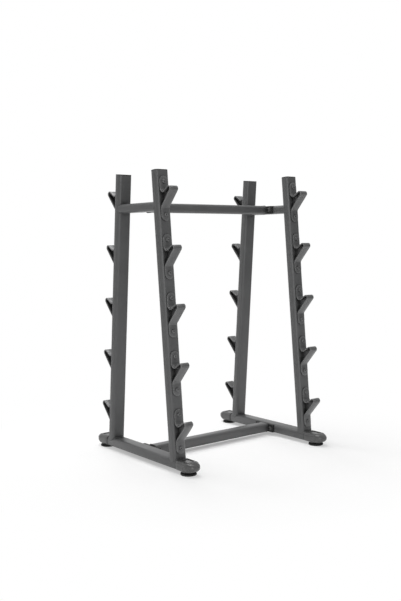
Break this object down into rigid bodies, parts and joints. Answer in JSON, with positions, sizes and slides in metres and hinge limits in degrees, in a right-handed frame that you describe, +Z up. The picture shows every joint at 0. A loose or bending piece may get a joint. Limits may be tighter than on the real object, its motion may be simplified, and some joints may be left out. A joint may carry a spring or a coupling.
{
  "type": "barbell storage rack",
  "caption": "Free-standing two-sided rack: leaning side frames joined by cross beams, with bent strap hooks that hold barbells level across both sides.",
  "frame": {"origin": "centre of the footprint, on the floor", "axes": "+X to the right along the stored bars, -Y to the front, +Z up"},
  "size_m": [0.978, 0.88, 1.502],
  "materials": {
    "frame_coat": "fine-textured charcoal powder coat on steel tube",
    "hook_coat": "satin charcoal powder coat on bent steel strap",
    "black_casting": "black textured coat on cast metal",
    "lid_plastic": "matte black moulded plastic",
    "cap_plastic": "charcoal moulded plastic with a fine grain",
    "foot_rubber": "black moulded rubber",
    "bolt_steel": "dark zinc-plated steel"
  },
  "bodies": {
    "root": {"base_rail_left": "frame_coat", "side_brace_left": "frame_coat", "saddle_bottom_left": "black_casting", "saddle_bolt_bottom_left_a": "bolt_steel", "saddle_bolt_bottom_left_b": "bolt_steel", "saddle_top_left": "black_casting", "saddle_bolt_top_left_a": "bolt_steel", "saddle_bolt_top_left_b": "bolt_steel", "upright_left_front": "frame_coat", "upright_cap_left_front": "lid_plastic", "hook_left_front_1": "hook_coat", "hook_left_front_2": "hook_coat", "hook_left_front_3": "hook_coat", "hook_left_front_4": "hook_coat", "hook_left_front_5": "hook_coat", "rail_cap_left_front": "cap_plastic", "foot_left_front": "foot_rubber", "foot_screw_left_front": "bolt_steel", "upright_left_rear": "frame_coat", "upright_cap_left_rear": "lid_plastic", "hook_left_rear_1": "hook_coat", "hook_left_rear_2": "hook_coat", "hook_left_rear_3": "hook_coat", "hook_left_rear_4": "hook_coat", "hook_left_rear_5": "hook_coat", "rail_cap_left_rear": "cap_plastic", "foot_left_rear": "foot_rubber", "foot_screw_left_rear": "bolt_steel", "base_rail_right": "frame_coat", "side_brace_right": "frame_coat", "saddle_bottom_right": "black_casting", "saddle_bolt_bottom_right_a": "bolt_steel", "saddle_bolt_bottom_right_b": "bolt_steel", "saddle_top_right": "black_casting", "saddle_bolt_top_right_a": "bolt_steel", "saddle_bolt_top_right_b": "bolt_steel", "upright_right_front": "frame_coat", "upright_cap_right_front": "lid_plastic", "hook_right_front_1": "hook_coat", "hook_right_front_2": "hook_coat", "hook_right_front_3": "hook_coat", "hook_right_front_4": "hook_coat", "hook_right_front_5": "hook_coat", "rail_cap_right_front": "cap_plastic", "foot_right_front": "foot_rubber", "foot_screw_right_front": "bolt_steel", "upright_right_rear": "frame_coat", "upright_cap_right_rear": "lid_plastic", "hook_right_rear_1": "hook_coat", "hook_right_rear_2": "hook_coat", "hook_right_rear_3": "hook_coat", "hook_right_rear_4": "hook_coat", "hook_right_rear_5": "hook_coat", "rail_cap_right_rear": "cap_plastic", "foot_right_rear": "foot_rubber", "foot_screw_right_rear": "bolt_steel", "bottom_beam": "frame_coat", "top_beam": "frame_coat"}
  },
  "joints": []
}
